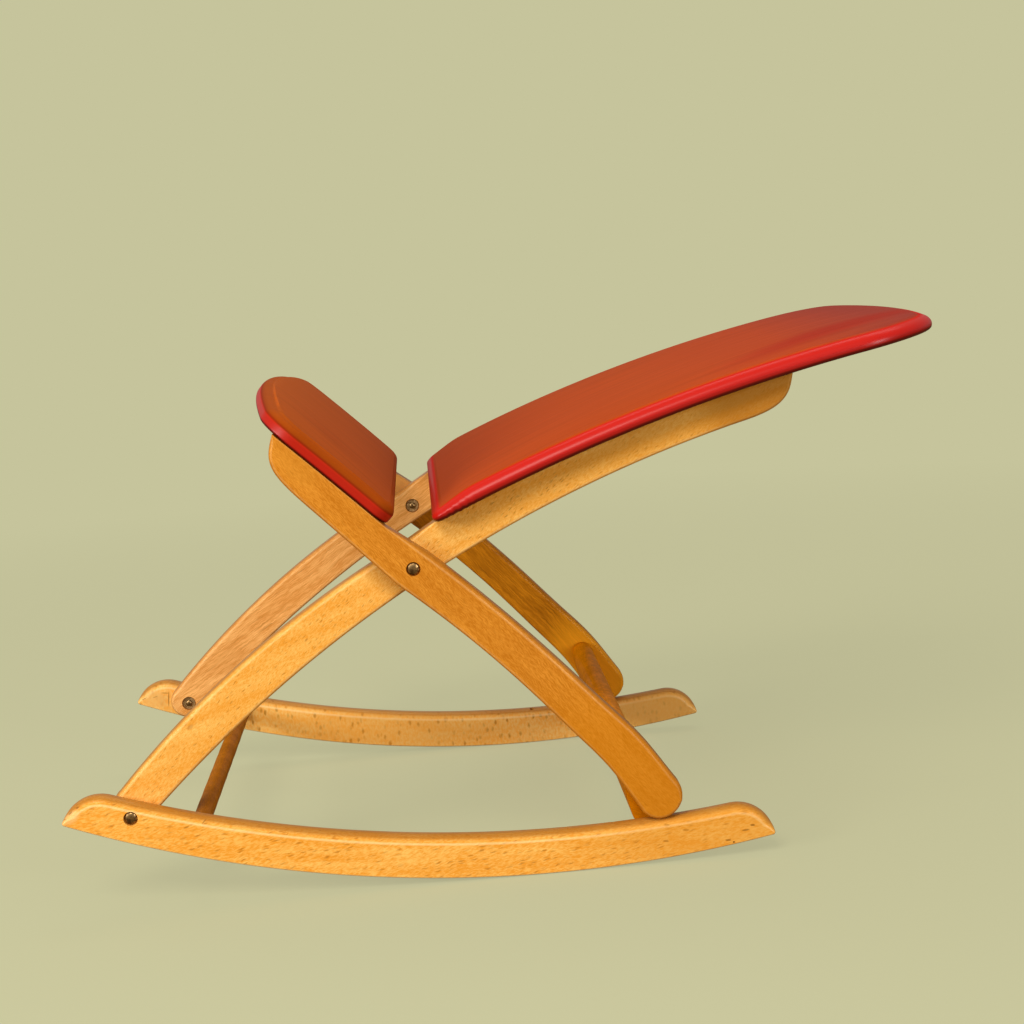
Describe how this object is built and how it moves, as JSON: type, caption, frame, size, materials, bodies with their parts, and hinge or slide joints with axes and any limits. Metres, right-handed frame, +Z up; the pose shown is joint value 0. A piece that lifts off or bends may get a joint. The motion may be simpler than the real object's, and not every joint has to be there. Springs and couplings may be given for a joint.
{
  "type": "folding rocking chair",
  "caption": "Low folding rocking chair with curved beech rockers and crossing curved legs, riveted at their pivots, and two padded red vinyl rests.",
  "frame": {"origin": "centre of the bounding box in plan, on the floor under the level part of both rocker soles", "axes": "+X from the riveted ends of the rockers towards the free end of the long pad, +Y from the near side frame to the far one, +Z up"},
  "size_m": [0.8024, 0.4346, 0.463],
  "materials": {
    "beech": "clear varnish, satin to gloss, worn at the tips",
    "red_vinyl": "smooth upholstery vinyl, semi-gloss, worn to orange on top",
    "plywood": "raw, sanded",
    "cotton": "felted wadding",
    "aged_brass": "tarnished",
    "steel": "plain, slightly dull"
  },
  "bodies": {
    "base": {"rocker_near": "beech", "rocker_far": "beech", "rocker_rung": "beech", "back_pivot_rivet_near": "aged_brass", "back_pivot_rivet_far": "aged_brass", "back_pivot_burr_near": "aged_brass", "back_pivot_burr_far": "aged_brass", "back_pivot_spacer_near": "aged_brass", "back_pivot_spacer_far": "aged_brass"},
    "back_frame": {"back_leg_near": "beech", "back_leg_far": "beech", "back_board": "plywood", "back_wadding": "cotton", "back_cover": "red_vinyl", "back_screw_1": "steel", "back_screw_2": "steel", "back_screw_3": "steel", "back_screw_4": "steel", "back_screw_5": "steel", "back_screw_6": "steel"},
    "seat_frame": {"seat_leg_near": "beech", "seat_leg_far": "beech", "seat_rail": "beech", "seat_board": "plywood", "seat_wadding": "cotton", "seat_cover": "red_vinyl", "seat_screw_1": "steel", "seat_screw_2": "steel", "seat_screw_3": "steel", "seat_screw_4": "steel", "crossing_rivet_near": "aged_brass", "crossing_rivet_far": "aged_brass", "crossing_burr_near": "aged_brass", "crossing_burr_far": "aged_brass", "crossing_spacer_near": "aged_brass", "crossing_spacer_far": "aged_brass"}
  },
  "joints": [
    {"name": "back_pivot", "type": "hinge", "parent": "base", "child": "back_frame", "pos_m": [-0.34276, 0, 0.0827], "axis": [0, -1, 0], "range_deg": [-24.5, 9.3]},
    {"name": "seat_pivot", "type": "hinge", "parent": "back_frame", "child": "seat_frame", "pos_m": [-0.08366, 0, 0.27972], "axis": [0, -1, 0], "range_deg": [-23, 60.6]}
  ],
  "couplings": [
    {"joint": "seat_pivot", "follows": "back_pivot", "ratio": -2.47}
  ]
}
